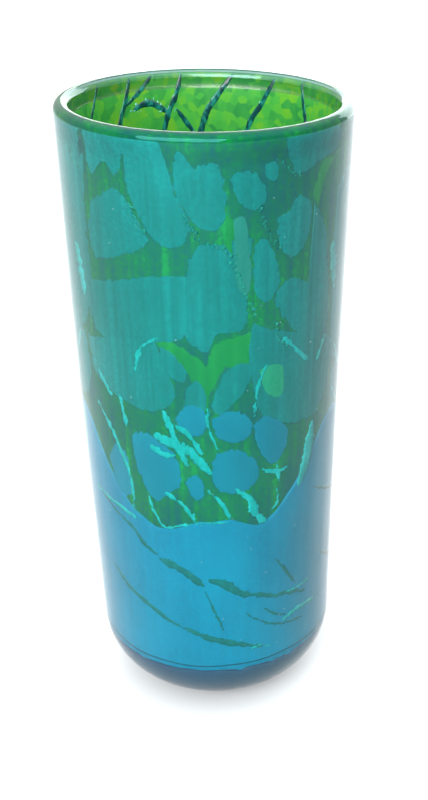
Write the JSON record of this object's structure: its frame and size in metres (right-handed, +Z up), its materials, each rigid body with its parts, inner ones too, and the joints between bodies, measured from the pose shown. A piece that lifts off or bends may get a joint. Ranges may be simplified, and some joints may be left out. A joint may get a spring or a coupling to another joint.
{
  "type": "blown glass vase",
  "caption": "Tall open vase of cased blown glass: clear outer gather over blue, green and turquoise colour work, lime green lining and a thick ink blue foot.",
  "frame": {"origin": "centre of the flat foot, on the surface that the vase stands on", "axes": "+Z up along the vase's axis; the face with the two long green trails looks along -Y"},
  "size_m": [0.1098, 0.1098, 0.25],
  "materials": {
    "clear_glass": "clear, fire polished",
    "ink_glass": "deep transparent ink blue",
    "blue_glass": "opaque sky blue under clear glass",
    "green_glass": "emerald green under clear glass",
    "turquoise_glass": "turquoise chips melted flat",
    "sky_glass": "blue chips melted flat",
    "mint_glass": "bright mint streaks",
    "moss_glass": "moss green trails",
    "dark_glass": "dark blue thread",
    "opal_glass": "pale opal, opaque",
    "lime_glass": "lime green, glossy on the inside",
    "teal_glass": "teal threads flush with the lining"
  },
  "bodies": {
    "root": {"clear_casing": "clear_glass", "ink_base": "ink_glass", "blue_wrap": "blue_glass", "green_ground": "green_glass", "turquoise_chips": "turquoise_glass", "blue_chips": "sky_glass", "mint_streaks": "mint_glass", "green_trails": "moss_glass", "foot_thread": "dark_glass", "opal_core": "opal_glass", "lime_lining": "lime_glass", "teal_veins": "teal_glass"}
  },
  "joints": []
}
